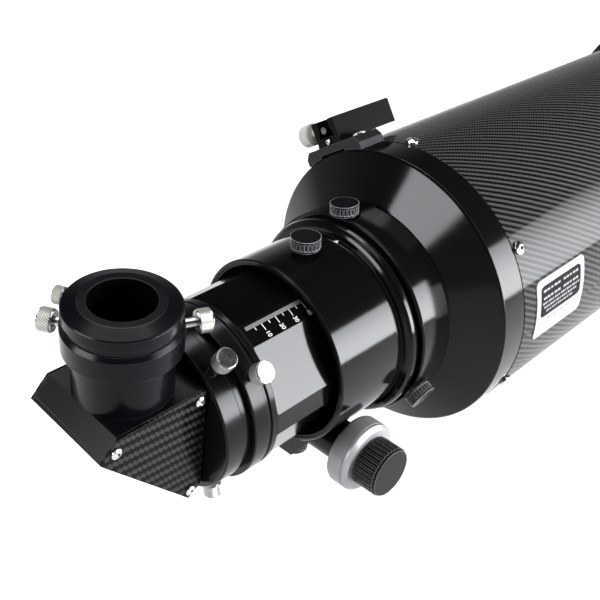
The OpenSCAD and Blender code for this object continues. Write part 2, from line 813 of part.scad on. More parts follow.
// Half ring above or below the split
module half_ring(x, up) {
    side = up ? 1 : -1;
    translate([x, 0, 0]) difference() {
        tube_x(-ring_w / 2, ring_w / 2, ring_r, up ? ring_in : tube_r);
        translate([-ring_w, -200, up ? -200 : -0.2]) cube([2 * ring_w, 400, 200.2]);
    }
    translate([x - ring_w / 2, -126, up ? 0 : -9.2]) difference() {
        cube([ring_w, 24, 9.2 - (up ? 0 : 0.2)]);
        translate([ring_w / 2, 126 + clamp_y, -5]) cylinder(h = 20, r = 3.1);
        translate([-1, 126, up ? 0 : 9.2]) along_x() cylinder(h = ring_w + 2, r = tube_r + 6);
    }
    if (!up) {
        translate([x - ring_w / 2, -30, foot_z]) difference() {
            cube([ring_w, 60, 20]);
            translate([-1, 30, -foot_z]) along_x() cylinder(h = ring_w + 2, r = tube_r + 6);
        }
    }
    if (up) {
        translate([x - ring_w / 2, -22, ring_r - 6]) difference() {
            cube([ring_w, 44, 10]);
            translate([-1, 22, 6 - ring_r]) along_x() cylinder(h = ring_w + 2, r = tube_r + 6);
        }
    }
}

// Hinge knuckles on the +Y side: the lower half carries the outer two, the upper half the middle one
module knuckle(x, x0, x1, up) {
    translate([x + x0, 0, 0]) difference() {
        union() {
            translate([0, hinge_y, 0]) along_x() cylinder(h = x1 - x0, r = knuckle_r);
            translate([0, ring_r - 8, up ? 0.2 : -8]) cube([x1 - x0, hinge_y - ring_r + 8, 7.8]);
        }
        translate([-1, 0, 0]) along_x() cylinder(h = 50, r = tube_r + 6);
        if (up) translate([-1, hinge_y, 0]) along_x() cylinder(h = 50, r = 3.05);
    }
}

module knuckle_clearance(x, x0, x1) {
    translate([x + x0 - gap, hinge_y, 0]) along_x() cylinder(h = x1 - x0 + 2 * gap, r = knuckle_r + gap);
}

knuckle_cut = 3.3;

module ring_upper(x) {
    color("#17171a") on_axis() {
        difference() {
            half_ring(x, true);
            knuckle_clearance(x, -ring_w / 2 - 1, -knuckle_cut);
            knuckle_clearance(x, knuckle_cut, ring_w / 2 + 1);
            for (y = [-12, 12]) {
                translate([x, y, ring_r - 5]) cylinder(h = 20, r = 2.55);
            }
        }
        knuckle(x, -knuckle_cut + gap, knuckle_cut - gap, true);
    }
}

module ring_upper_rear() {
    ring_upper(bar_mid - ring_gap / 2);
}

module ring_upper_front() {
    ring_upper(bar_mid + ring_gap / 2);
}

module ring_lowers() {
    color("#17171a") on_axis() for (x = [bar_mid - ring_gap / 2, bar_mid + ring_gap / 2]) {
        difference() {
            half_ring(x, false);
            knuckle_clearance(x, -knuckle_cut + gap, knuckle_cut - gap);
            for (y = [-bolt_y, bolt_y]) {
                translate([x, y, foot_z - 1]) cylinder(h = 12, r = 3.03);
            }
        }
        knuckle(x, -ring_w / 2, -knuckle_cut, false);
        knuckle(x, knuckle_cut, ring_w / 2, false);
        translate([x - ring_w / 2, hinge_y, 0]) along_x() cylinder(h = ring_w, r = 3);
    }
}

module ring_knob(x) {
    color("#1f1f22") on_axis() translate([x, clamp_y, 9.2]) fluted_knob(3.2, 10, 14, 17, 18);
}

module ring_knob_rear() {
    ring_knob(bar_mid - ring_gap / 2);
}

module ring_knob_front() {
    ring_knob(bar_mid + ring_gap / 2);
}

module dovetail_bar() {
    thick = axis_height + foot_z;
    color("#19191c") difference() {
        translate([-bar_len / 2, 0, 0]) rotate([90, 0, 90]) linear_extrude(height = bar_len)
            polygon([[-bar_bottom_w / 2, 0], [bar_bottom_w / 2, 0], [bar_bottom_w / 2, 3], [bar_top_w / 2, 14],
                [bar_top_w / 2, thick], [-bar_top_w / 2, thick], [-bar_top_w / 2, 14], [-bar_bottom_w / 2, 3]]);
        for (x = [-ring_gap / 2, ring_gap / 2]) {
            for (y = [-bolt_y, bolt_y]) {
                translate([x, y, -1]) cylinder(h = 40, r = 3.3);
                translate([x, y, -1]) cylinder(h = 8, r = 5.6);
            }
        }
        for (x = [-60, 60]) {
            translate([x, 0, -1]) cylinder(h = 40, r = 3.3);
        }
    }
}

// Socket-head bolts that hold the rings on the bar
module bar_bolts() {
    color("#2a2a2c") for (x = [-ring_gap / 2, ring_gap / 2]) {
        for (y = [-bolt_y, bolt_y]) {
            translate([x, y, 1]) difference() {
                cylinder(h = 6, r = 5);
                translate([0, 0, -1]) cylinder(h = 4, r = 2.9, $fn = 6);
            }
            translate([x, y, 6.9]) cylinder(h = 18, r = 3);
        }
    }
}

main_tube();
rear_cell();
tube_screws();
baffles();
objective_cell();
lens_front();
lens_middle();
lens_rear();
retaining_ring();
shield_felt();
label_plate();
finder_base();
finder_screws();
finder_shoe();
finder_thumbscrew();
rotator();
rotator_knob_top();
rotator_knob_near();
rotator_knob_far();
focuser_body();
rear_bezel();
focuser_bearings();
drawtube_lock_knob();
pinion_housing();
housing_screws();
tension_knob();
pinion();
coarse_knob_near();
coarse_knob_far();
fine_knob();
drawtube();
rack();
end_ring();
end_ring_screw();
end_ring_screw_low();
collar();
collar_screw_near();
collar_screw_far();
collar_clamp_ring();
diag_body();
diag_nose();
diag_mirror();
diag_cover();
side_plates();
side_plate_screws();
eyepiece_holder();
holder_clamp_ring();
holder_screw_front();
holder_screw_rear();
eyepiece_adapter();
adapter_screw();
dew_shield();
shield_lock_screw();
ring_lowers();
ring_upper_rear();
ring_upper_front();
ring_knob_rear();
ring_knob_front();
dovetail_bar();
bar_bolts();
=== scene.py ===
import math
import bpy
import bmesh
from mathutils import Matrix, Vector


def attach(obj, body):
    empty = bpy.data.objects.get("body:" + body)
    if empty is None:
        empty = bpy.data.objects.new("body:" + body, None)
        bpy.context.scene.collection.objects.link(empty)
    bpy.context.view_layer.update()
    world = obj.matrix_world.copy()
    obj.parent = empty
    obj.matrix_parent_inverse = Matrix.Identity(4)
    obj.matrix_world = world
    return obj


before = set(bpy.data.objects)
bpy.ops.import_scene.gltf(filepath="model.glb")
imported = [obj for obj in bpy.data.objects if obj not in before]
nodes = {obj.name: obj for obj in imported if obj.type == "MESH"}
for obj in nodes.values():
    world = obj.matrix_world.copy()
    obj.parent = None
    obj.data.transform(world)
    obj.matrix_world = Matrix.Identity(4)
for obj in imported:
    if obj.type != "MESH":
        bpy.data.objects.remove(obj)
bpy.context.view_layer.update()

MM = 0.001
EYE_X = -0.720          # eyepiece axis along X
AXIS_Z = 0.128          # optical axis above the bar's underside
TURN = math.radians(6)  # the diagonal's turn about the optical axis
TUBE_R = 0.0933         # outside of the carbon tube
HEAD_R = 0.0056         # head of a usual thumbscrew
KNOB_R = 0.02195        # just inside the rim of the coarse knobs
BORE_R = 0.0163         # just outside the eyepiece bore
INDEX_R = 57.23         # mm, just above the front ring of the focuser body


def axis_point(x, y=0.0, z=0.0):
    """Millimetres from the eyepiece axis and the optical axis, to the row's frame."""
    return Vector((x * MM + EYE_X, y * MM, z * MM + AXIS_Z))


def around(angle):
    """Unit vector across the optical axis at an angle from +Y."""
    a = math.radians(angle)
    return Vector((0, math.cos(a), math.sin(a)))


DIAG = Matrix.Translation(axis_point(0)) @ Matrix.Rotation(TURN, 4, "X")

# (origin, direction) of the optical, eyepiece and pinion axes
X_AXIS = (axis_point(0), (1, 0, 0))
E_AXIS = (DIAG.translation, DIAG.to_3x3() @ Vector((0, 0, 1)))
P_AXIS = (axis_point(127.7, 0, -58), (0, -1, 0))


# ---------- shader helpers ----------

class Net:
    """A small builder for one material's nodes."""

    def __init__(self, name):
        self.mat = bpy.data.materials.new(name)
        self.mat.use_nodes = True
        self.nt = self.mat.node_tree
        self.nt.nodes.clear()
        self.out = self.nt.nodes.new("ShaderNodeOutputMaterial")
        self.bsdf = self.nt.nodes.new("ShaderNodeBsdfPrincipled")
        self.nt.links.new(self.bsdf.outputs[0], self.out.inputs[0])
        self._pos = None

    def new(self, kind, **props):
        n = self.nt.nodes.new(kind)
        for k, v in props.items():
            setattr(n, k, v)
        return n

    def put(self, sock, v):
        if isinstance(v, bpy.types.NodeSocket):
            self.nt.links.new(v, sock)
        elif v is not None:
            sock.default_value = v

    def set(self, **values):
        for k, v in values.items():
            name = k.replace("_", " ")
            if isinstance(v, (tuple, list)) and len(v) == 3:
                v = (*v, 1)
            self.put(self.bsdf.inputs[name], v)

    def pos(self):
        if self._pos is None:
            self._pos = self.new("ShaderNodeTexCoord").outputs["Object"]
        return self._pos

    def math(self, op, a, b=None, c=None, clamp=False):
        n = self.new("ShaderNodeMath", operation=op, use_clamp=clamp)
        for i, v in enumerate((a, b, c)):
            if v is not None:
                self.put(n.inputs[i], v)
        return n.outputs[0]

    def sep(self, v):
        n = self.new("ShaderNodeSeparateXYZ")
        self.put(n.inputs[0], v)
        return n.outputs[0], n.outputs[1], n.outputs[2]

    def comb(self, x, y, z):
        n = self.new("ShaderNodeCombineXYZ")
        for i, v in enumerate((x, y, z)):
            self.put(n.inputs[i], v)
        return n.outputs[0]

    def local(self, origin, z_axis):
        """Coordinates in a frame at origin whose +Z is z_axis: x, y, z, angle and radius sockets."""
        z = Vector(z_axis).normalized()
        q = z.to_track_quat("Z", "Y")
        m = q.to_matrix().transposed()
        sub = self.new("ShaderNodeVectorMath", operation="SUBTRACT")
        self.put(sub.inputs[0], self.pos())
        sub.inputs[1].default_value = tuple(origin)
        rows = []
        for i in range(3):
            d = self.new("ShaderNodeVectorMath", operation="DOT_PRODUCT")
            self.put(d.inputs[0], sub.outputs[0])
            d.inputs[1].default_value = tuple(m[i])
            rows.append(d.outputs["Value"])
        ang = self.math("ARCTAN2", rows[1], rows[0])
        rad = self.math("SQRT", self.math("ADD", self.math("MULTIPLY", rows[0], rows[0]),
                                          self.math("MULTIPLY", rows[1], rows[1])))
        return rows[0], rows[1], rows[2], ang, rad

    def noise(self, scale, detail=3, rough=0.55, vec=None, out="Fac"):
        n = self.new("ShaderNodeTexNoise")
        n.inputs["Scale"].default_value = scale
        n.inputs["Detail"].default_value = detail
        n.inputs["Roughness"].default_value = rough
        self.put(n.inputs["Vector"], vec if vec is not None else self.pos())
        return n.outputs[out]

    def ramp(self, fac, stops, interpolation="LINEAR"):
        n = self.new("ShaderNodeValToRGB")
        n.color_ramp.interpolation = interpolation
        els = n.color_ramp.elements
        while len(els) < len(stops):
            els.new(0.5)
        for e, (p, c) in zip(els, stops):
            e.position = p
            e.color = (c, c, c, 1) if isinstance(c, (int, float)) else (*c, 1)
        self.put(n.inputs[0], fac)
        return n.outputs[0]

    def mix(self, fac, a, b):
        n = self.new("ShaderNodeMix", data_type="RGBA")
        self.put(n.inputs[0], fac)
        self.put(n.inputs[6], (*a, 1) if isinstance(a, (tuple, list)) and len(a) == 3 else a)
        self.put(n.inputs[7], (*b, 1) if isinstance(b, (tuple, list)) and len(b) == 3 else b)
        return n.outputs[2]

    def lerp(self, fac, a, b):
        n = self.new("ShaderNodeMapRange")
        self.put(n.inputs[0], fac)
        n.inputs[3].default_value = a
        n.inputs[4].default_value = b
        return n.outputs[0]

    def bump(self, height, strength=0.3, distance=0.0002, normal=None):
        n = self.new("ShaderNodeBump")
        n.inputs["Strength"].default_value = strength
        n.inputs["Distance"].default_value = distance
        self.put(n.inputs["Height"], height)
        if normal is not None:
            self.put(n.inputs["Normal"], normal)
        return n.outputs[0]

    def rounded(self, radius=0.0005):
        n = self.new("ShaderNodeBevel", samples=6)
        n.inputs[0].default_value = radius
        return n.outputs[0]

    def edge(self, radius=0.0006):
        """(1 on sharp edges and 0 on faces, the rounded normal)."""
        bev = self.rounded(radius)
        geo = self.new("ShaderNodeNewGeometry").outputs["Normal"]
        d = self.new("ShaderNodeVectorMath", operation="DOT_PRODUCT")
        self.put(d.inputs[0], bev)
        self.put(d.inputs[1], geo)
        bend = self.math("SUBTRACT", 1.0, d.outputs["Value"])
        return self.ramp(bend, [(0.02, 0.0), (0.25, 1.0)]), bev


def dress(node, mat):
    o = nodes[node]
    o.data.materials.clear()
    o.data.materials.append(mat)


# ---------- materials ----------

def turning_lines(n, z, ang, rad, fine, slow):
    """Noise drawn out round the axis: many lines along z and rad, few changes round it."""
    return n.noise(1.0, 3, 0.7, vec=n.comb(n.math("MULTIPLY", z, fine), n.math("MULTIPLY", rad, fine),
                                          n.math("MULTIPLY", ang, slow)))


def anodised(name, color, rough, turned=None, wear=0.25, ior=1.27, grain=0.25, pit=None):
    """Anodised aluminium: dark oxide with a clear sealed surface, faint grain, smudges and lighter edges."""
    n = Net(name)
    edge, bev = n.edge()
    smudge = n.noise(26, 4, 0.6)
    grain_h = n.noise(5200, 2, 0.5)
    if turned is not None:
        _, _, z, ang, rad = n.local(*turned)
        lines = turning_lines(n, z, ang, rad, 1900.0, 1.6)
        grain_h = n.mix(0.5, grain_h, lines)
    r = n.math("ADD", n.lerp(smudge, rough * 0.8, rough * 1.25), n.lerp(grain_h, -0.03, 0.03))
    tint = n.mix(smudge, tuple(c * 0.85 for c in color), tuple(c * 1.15 for c in color))
    wear_and_bore_shade = n.mix(n.math("MULTIPLY", edge, wear), tint, (0.30, 0.30, 0.31))
    if pit is not None:
        # the inside of the bore is painted near black and its reflection is taken out: painted shade in the
        # recess
        inner = n.math("LESS_THAN", rad, pit)
        wear_and_bore_shade = n.mix(inner, wear_and_bore_shade, (0.0006, 0.0006, 0.0006))
        n.put(n.bsdf.inputs["Specular IOR Level"], n.math("SUBTRACT", 0.5, n.math("MULTIPLY", inner, 0.5)))
    n.set(Base_Color=wear_and_bore_shade, Roughness=n.math("ADD", r, n.math("MULTIPLY", edge, 0.05), clamp=True),
          IOR=ior, Metallic=0.0, Normal=n.bump(grain_h, grain, 0.00004, bev))
    return n.mat


def metal(name, color, rough, grain=0.25):
    """Bare metal with smudges and a fine grain."""
    n = Net(name)
    smudge = n.noise(60, 4, 0.6)
    h = n.noise(4000, 2, 0.5)
    dull = n.lerp(smudge, rough * 0.75, rough * 1.3)
    n.set(Base_Color=n.mix(smudge, tuple(c * 0.92 for c in color), color),
          Roughness=n.math("ADD", dull, n.lerp(h, -0.04, 0.04), clamp=True),
          Metallic=1.0, Normal=n.bump(h, grain, 0.00004, n.rounded(0.0004)))
    return n.mat


def knurled_nickel(name, origin, axis, head_r=HEAD_R, pitch=0.0014):
    """Nickel thumbscrew: diamond knurl round the rim, with painted shade in its grooves, and turned rings on
    its flat face.
    """
    n = Net(name)
    _, _, z, ang, rad = n.local(origin, axis)
    turns = round(2 * math.pi * head_r / pitch)
    a = n.math("MULTIPLY", ang, float(turns) / 2)
    b = n.math("MULTIPLY", z, math.pi / pitch)
    d1 = n.math("ABSOLUTE", n.math("SINE", n.math("ADD", a, b)))
    d2 = n.math("ABSOLUTE", n.math("SINE", n.math("SUBTRACT", a, b)))
    diamond = n.math("MINIMUM", d1, d2)
    rim = n.math("GREATER_THAN", rad, head_r * 0.965)
    rings = n.noise(1.0, 3, 0.75,
                    vec=n.comb(n.math("MULTIPLY", rad, 5200.0), n.math("MULTIPLY", ang, 0.8), 0.0))
    on_face = n.math("SUBTRACT", 0.25, n.math("MULTIPLY", rim, 0.25))
    height = n.math("ADD", n.math("MULTIPLY", diamond, rim), n.math("MULTIPLY", rings, on_face))
    smudge = n.noise(300, 3, 0.6)
    # the knurl's grooves are painted near black and its crests pale: painted shade in the grooves
    knurl_groove_shade = n.ramp(diamond, [(0.08, 0.0), (0.62, 1.0)])
    col = n.mix(rim, (0.26, 0.257, 0.25), n.mix(knurl_groove_shade, (0.012, 0.011, 0.010), (0.40, 0.38, 0.355)))
    n.set(Base_Color=col, Metallic=1.0,
          Roughness=n.math("ADD", n.lerp(smudge, 0.16, 0.26), n.math("MULTIPLY", rim, 0.14)),
          Normal=n.bump(height, 1.0, 0.00025, n.rounded(0.0003)))
    return n.mat


def knurled_silver():
    """Clear anodised coarse knob: fine straight knurl round the rim, with painted shade in its grooves, and
    turned rings on its faces.
    """
    n = Net("silver_anodised")
    _, _, z, ang, rad = n.local(*P_AXIS)
    side = n.math("GREATER_THAN", rad, KNOB_R)
    # the knurled band lies 48 to 57 mm out, on both knobs
    from_middle = n.math("ABSOLUTE", n.math("SUBTRACT", n.math("ABSOLUTE", z), 0.0525))
    rim = n.math("SUBTRACT", side, n.math("GREATER_THAN", from_middle, 0.0045), clamp=True)
    rib = n.math("ABSOLUTE", n.math("SINE", n.math("MULTIPLY", ang, 66.0)))
    rings = n.noise(1.0, 3, 0.7,
                    vec=n.comb(n.math("MULTIPLY", rad, 4200.0), n.math("MULTIPLY", ang, 0.8),
                               n.math("MULTIPLY", z, 4200.0)))
    groove = n.ramp(rib, [(0.0, 0.0), (0.6, 1.0)])
    # the grooves between the ribs are painted dark: painted shade
    shade = n.mix(groove, (0.035, 0.035, 0.036), (0.20, 0.20, 0.205))
    height = n.math("ADD", n.math("MULTIPLY", groove, rim), n.math("MULTIPLY", rings, 0.12))
    face = n.mix(n.noise(70, 4), (0.15, 0.15, 0.152), (0.20, 0.20, 0.205))
    n.set(Base_Color=n.mix(rim, face, shade), Metallic=0.55,
          Roughness=n.lerp(n.noise(60, 3), 0.36, 0.46),
          Normal=n.bump(height, 0.5, 0.0003, n.rounded(0.0004)))
    return n.mat


def ivory():
    """Pale plastic of the finder shoe's thumbscrew."""
    n = Net("ivory_knob")
    cloud = n.noise(120, 3)
    n.set(Base_Color=n.mix(cloud, (0.20, 0.19, 0.17), (0.26, 0.25, 0.225)),
          Roughness=n.lerp(cloud, 0.32, 0.42), IOR=1.4,
          Normal=n.bump(n.noise(2500, 3), 0.2, 0.00005, n.rounded(0.0006)))
    return n.mat


def weave(n, u, v, tow):
    """2x2 twill from two lengths in metres: (1 where the warp lies over, height of the thread on top)."""
    us = n.math("DIVIDE", u, tow)
    vs = n.math("DIVIDE", v, tow)
    iu, iv = n.math("FLOOR", us), n.math("FLOOR", vs)
    fu, fv = n.math("FRACT", us), n.math("FRACT", vs)
    ph = n.math("FLOORED_MODULO", n.math("SUBTRACT", iu, iv), 4.0)
    over = n.math("LESS_THAN", ph, 1.5)
    first = n.math("FLOORED_MODULO", ph, 2.0)

    def bow(t):
        off = n.math("ABSOLUTE", n.math("SUBTRACT", n.math("MULTIPLY", t, 2.0), 1.0))
        return n.math("SUBTRACT", 1.0, n.math("POWER", off, 3.0))

    # along a float, two cells long: position 0..1 over both cells
    la = n.math("MULTIPLY", n.math("ADD", fu, first), 0.5)
    lb = n.math("MULTIPLY", n.math("ADD", fv, n.math("SUBTRACT", 1.0, first)), 0.5)
    warp = n.math("MULTIPLY", bow(fv), bow(la))
    weft = n.math("MULTIPLY", bow(fu), bow(lb))
    under = n.math("SUBTRACT", 1.0, over)
    return over, n.math("ADD", n.math("MULTIPLY", over, warp), n.math("MULTIPLY", under, weft))


def carbon(name, planar=False, tow=0.0013, bright=0.023, coat=0.42, slant=16):
    """Twill carbon cloth under a clear coat, with a painted sheen on its warp threads."""
    n = Net(name)
    if planar:
        along, across, *_ = n.local(DIAG.translation, DIAG.to_3x3() @ Vector((0, -1, 0)))
    else:
        _, _, along, ang, _ = n.local(*X_AXIS)
        across = n.math("MULTIPLY", ang, TUBE_R)
    # the cloth is laid at a slant
    c, s = math.cos(math.radians(slant)), math.sin(math.radians(slant))
    u = n.math("SUBTRACT", n.math("MULTIPLY", along, c), n.math("MULTIPLY", across, s))
    v = n.math("ADD", n.math("MULTIPLY", along, s), n.math("MULTIPLY", across, c))
    over, h = weave(n, u, v, tow)

    def fibres(per_u, per_v, seed):
        return n.noise(1.0, 2, 0.6,
                       vec=n.comb(n.math("MULTIPLY", u, per_u), n.math("MULTIPLY", v, per_v), seed))

    thread = n.mix(over, fibres(9000.0, 2500.0, 3.0), fibres(2500.0, 9000.0, 0.0))
    # the warp threads are painted lighter than the weft: painted sheen along one direction of the fibres
    lit = n.mix(thread, tuple(bright * c for c in (0.55, 0.53, 0.51)),
                tuple(bright * c for c in (1.5, 1.43, 1.38)))
    dim = n.mix(thread, (0.0005, 0.0005, 0.0006), (0.0016, 0.0015, 0.0014))
    body = n.mix(over, dim, lit)
    col = n.mix(n.ramp(h, [(0.0, 0.0), (0.3, 1.0)]), (0.0004, 0.0004, 0.0004), body)
    patch = n.noise(18, 3, 0.6)
    bev = n.rounded(0.0006)
    n.set(Base_Color=col, Roughness=n.lerp(patch, 0.40, 0.52), IOR=1.06,
          Normal=n.bump(h, 0.35, 0.0002, bev))
    n.bsdf.inputs["Coat Weight"].default_value = coat
    n.bsdf.inputs["Coat Roughness"].default_value = 0.06
    n.bsdf.inputs["Coat IOR"].default_value = 1.24
    n.put(n.bsdf.inputs["Coat Normal"], n.bump(n.noise(55, 2, 0.5), 0.04, 0.0004, bev))
    return n.mat


black = anodised("black_gloss", (0.0012, 0.0012, 0.0014), 0.10, turned=X_AXIS, wear=0.10, ior=1.2)
black_satin = anodised("black_satin", (0.0015, 0.0015, 0.0018), 0.18, turned=X_AXIS, wear=0.12, ior=1.17)
black_cast = anodised("black_milled", (0.002, 0.002, 0.0022), 0.24, wear=0.15, ior=1.2)
shoe_black = anodised("shoe_black", (0.0012, 0.0012, 0.0013), 0.36, wear=0.08, ior=1.1, grain=0.5)
base_grey = anodised("base_satin", (0.0035, 0.0035, 0.0045), 0.34, wear=0.22, ior=1.2, grain=0.5)
diag_black = anodised("diagonal_satin", (0.0014, 0.0014, 0.0020), 0.30, wear=0.14, ior=1.15)
# the holder's bore gets painted shade: near black, with no reflection
holder_black = anodised("holder_satin", (0.0012, 0.0012, 0.0018), 0.20, turned=E_AXIS, wear=0.14, ior=1.15,
                        pit=BORE_R)
knob_black = anodised("knob_black", (0.0025, 0.0025, 0.0028), 0.22, wear=1.0, ior=1.14)
fine_black = anodised("fine_knob_black", (0.0012, 0.0012, 0.0013), 0.28, turned=P_AXIS, wear=0.7, ior=1.14)
tube_carbon = carbon("carbon_tube")
plate_carbon = carbon("carbon_plate", planar=True, tow=0.0021, bright=0.015, coat=0.2, slant=50)
silver = knurled_silver()
steel = metal("steel", (0.30, 0.30, 0.30), 0.3)
polished = metal("polished_screw", (0.40, 0.39, 0.38), 0.18, grain=0.1)
brass = metal("brass", (0.42, 0.31, 0.14), 0.3)


def flat_black():
    """Matt paint inside the tube."""
    n = Net("light_stop_black")
    n.set(Base_Color=n.mix(n.noise(90, 4), (0.004, 0.004, 0.004), (0.010, 0.010, 0.010)), Roughness=0.9,
          IOR=1.3, Normal=n.bump(n.noise(2400, 3), 0.5, 0.0002))
    return n.mat


def felt():
    """The lining of the sliding dew shield."""
    n = Net("felt")
    fuzz = n.noise(2600, 4, 0.7)
    n.set(Base_Color=n.mix(fuzz, (0.006, 0.006, 0.006), (0.03, 0.03, 0.03)), Roughness=0.95,
          Normal=n.bump(fuzz, 0.8, 0.0004))
    n.bsdf.inputs["Sheen Weight"].default_value = 0.4
    return n.mat


def glass(name, tint):
    """Lens glass with a quarter-wave coating (thickness in nanometres)."""
    n = Net(name)
    n.set(Base_Color=tint, Roughness=n.lerp(n.noise(40, 3), 0.0, 0.02), IOR=1.5)
    n.bsdf.inputs["Transmission Weight"].default_value = 1.0
    n.bsdf.inputs["Thin Film Thickness"].default_value = 110.0
    n.bsdf.inputs["Thin Film IOR"].default_value = 1.38
    return n.mat


def mirror():
    """The diagonal's mirror coating."""
    n = Net("mirror_coat")
    n.set(Base_Color=(0.88, 0.92, 0.94), Metallic=1.0, Roughness=n.lerp(n.noise(70, 3), 0.005, 0.03))
    return n.mat


def label_paper():
    """Silver-grey foil of the label."""
    n = Net("label_foil")
    grain = n.noise(3000, 2)
    n.set(Base_Color=n.mix(grain, (0.12, 0.12, 0.123), (0.14, 0.14, 0.143)),
          Roughness=n.lerp(grain, 0.30, 0.40), IOR=1.12, Normal=n.bump(grain, 0.1, 0.00005))
    return n.mat


def ink(name, color, rough=0.5):
    """Printed ink, slightly uneven."""
    n = Net(name)
    grain = n.noise(3500, 2)
    n.set(Base_Color=n.mix(grain, tuple(c * 0.9 for c in color), color),
          Roughness=n.lerp(grain, rough * 0.85, rough * 1.1), IOR=1.08,
          Normal=n.bump(grain, 0.15, 0.00004))
    return n.mat


LOOKS = {
    black: ["rear_cell", "rotator", "focuser_body", "drawtube", "dew_shield", "objective_cell",
            "retaining_ring"],
    black_satin: ["rear_bezel", "end_ring", "collar"],
    black_cast: ["pinion_housing", "ring_lowers", "ring_upper_rear", "ring_upper_front", "dovetail_bar"],
    shoe_black: ["finder_shoe"],
    base_grey: ["finder_base"],
    diag_black: ["diag_body", "diag_cover", "diag_nose"],
    holder_black: ["eyepiece_holder", "eyepiece_adapter"],
    tube_carbon: ["main_tube"],
    plate_carbon: ["side_plates"],
    silver: ["coarse_knob_near", "coarse_knob_far"],
    fine_black: ["fine_knob"],
    knob_black: ["tension_knob", "ring_knob_rear", "ring_knob_front", "drawtube_lock_knob",
                 "rotator_knob_top", "rotator_knob_near", "rotator_knob_far"],
    steel: ["rack", "pinion", "bar_bolts"],
    polished: ["tube_screws", "finder_screws", "side_plate_screws", "housing_screws"],
    brass: ["focuser_bearings", "collar_clamp_ring", "holder_clamp_ring"],
    flat_black(): ["baffles"],
    felt(): ["shield_felt"],
    glass("lens_front_glass", (0.93, 0.99, 0.95)): ["lens_front"],
    glass("lens_inner_glass", (0.95, 0.98, 0.98)): ["lens_middle", "lens_rear"],
    mirror(): ["diag_mirror"],
    label_paper(): ["label_plate"],
}
for look, names in LOOKS.items():
    for name in names:
        dress(name, look)


def screw_look(node, origin, axis, head_r=HEAD_R):
    """A nickel material of its own for each thumbscrew, centred on its axis."""
    dress(node, knurled_nickel(node + "_nickel", origin, axis, head_r))


# thumbscrews on the tube's axis: millimetres from the eyepiece axis, degrees round it
for node, x, angle in (("collar_screw_near", 35, 128), ("collar_screw_far", 35, 8),
                       ("end_ring_screw", 50.5, 141), ("end_ring_screw_low", 49, 261)):
    screw_look(node, axis_point(x), around(angle))
# and on the eyepiece's: degrees round it, millimetres up it, radius of the head
for node, angle, z, head_r in (("holder_screw_front", -22, 65, 0.0061),
                               ("holder_screw_rear", 125, 65, 0.0061),
                               ("adapter_screw", 120, 78.8, 0.0046)):
    a = math.radians(angle)
    outward = DIAG.to_3x3() @ Vector((math.cos(a), math.sin(a), 0))
    screw_look(node, DIAG @ Vector((0, 0, z * MM)), outward, head_r)
screw_look("shield_lock_screw", axis_point(867), Vector((0, 0, 1)), 0.007)
dress("finder_thumbscrew", ivory())


# ---------- printed marks ----------

def mesh_piece(name, verts, faces, mat, body):
    """A thin printed piece that rides on a body."""
    me = bpy.data.meshes.new(name)
    me.from_pydata([tuple(v) for v in verts], [], faces)
    me.validate()
    me.update()
    o = bpy.data.objects.new(name, me)
    bpy.context.scene.collection.objects.link(o)
    me.materials.append(mat)
    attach(o, body)
    return o


class Facet:
    """The narrow facet of the drawtube that carries the scale: x along the tube, t across, up the facet."""
    distance = 49.37
    normal = around(120)
    upward = around(30)

    @classmethod
    def at(cls, x, t, lift=0.03):
        return axis_point(x) + cls.normal * (cls.distance + lift) * MM + cls.upward * t * MM


white_ink = ink("scale_ink", (0.45, 0.45, 0.45), 0.45)
strip_ink = ink("scale_strip_ink", (0.075, 0.071, 0.067), 0.5)
SCALE_ZERO = 64.6       # mm from the eyepiece axis to the scale's zero
SCALE_TOP = 2.9         # mm up the facet to the upper ends of the ticks
TICK_HALF = 0.16        # mm, half a tick's width


def flat_quads(rects, at):
    """Separate rectangles from (x0, x1, t0, t1), placed by at(x, t)."""
    verts, faces = [], []
    for x0, x1, t0, t1 in rects:
        i = len(verts)
        verts += [at(x0, t0), at(x1, t0), at(x1, t1), at(x0, t1)]
        faces.append((i, i + 1, i + 2, i + 3))
    return verts, faces


def scale_marks():
    """Ticks every 5 mm, longer at the tens, and the grey strip above them."""
    rects = []
    for mm in range(5, 41, 5):
        length = 4.2 if mm % 10 == 0 else 1.9
        x = SCALE_ZERO + mm
        rects.append((x - TICK_HALF, x + TICK_HALF, SCALE_TOP - length, SCALE_TOP))
    verts, faces = flat_quads(rects, Facet.at)
    mesh_piece("scale_ticks", verts, faces, white_ink, "drawtube")
    strip = (SCALE_ZERO - 0.5, SCALE_ZERO + 40.2, SCALE_TOP, SCALE_TOP + 2.3)
    verts, faces = flat_quads([strip], Facet.at)
    mesh_piece("scale_strip", verts, faces, strip_ink, "drawtube")


def numerals():
    """The scale's numbers, as flat meshes on the facet."""
    for value in (10, 20, 30, 40):
        cu = bpy.data.curves.new("scale_%d" % value, "FONT")
        cu.body = str(value)
        cu.size = 3.7 * MM
        cu.align_x = "LEFT"
        cu.align_y = "CENTER"
        o = bpy.data.objects.new("scale_%d_text" % value, cu)
        bpy.context.scene.collection.objects.link(o)
        bpy.context.view_layer.update()
        dg = bpy.context.evaluated_depsgraph_get()
        me = bpy.data.meshes.new_from_object(o.evaluated_get(dg))
        bpy.data.objects.remove(o)
        # the line of text runs down the facet, its tops towards the sky end
        for v in me.vertices:
            run, up = v.co.x, v.co.y
            v.co = Facet.at(SCALE_ZERO + value + up / MM, SCALE_TOP - 4.9 - run / MM)
        piece = bpy.data.objects.new("scale_number_%d" % value, me)
        bpy.context.scene.collection.objects.link(piece)
        me.materials.clear()
        me.materials.append(white_ink)
        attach(piece, "drawtube")


scale_marks()
numerals()


LABEL_ANGLE = 173.2     # degrees round the tube to the label's middle


def label_at(x, s, lift):
    """A point on the label: x along the tube in mm, s millimetres down from its middle."""
    angle = LABEL_ANGLE + math.degrees(s * MM / TUBE_R)
    return axis_point(x) + around(angle) * (TUBE_R + lift * MM)


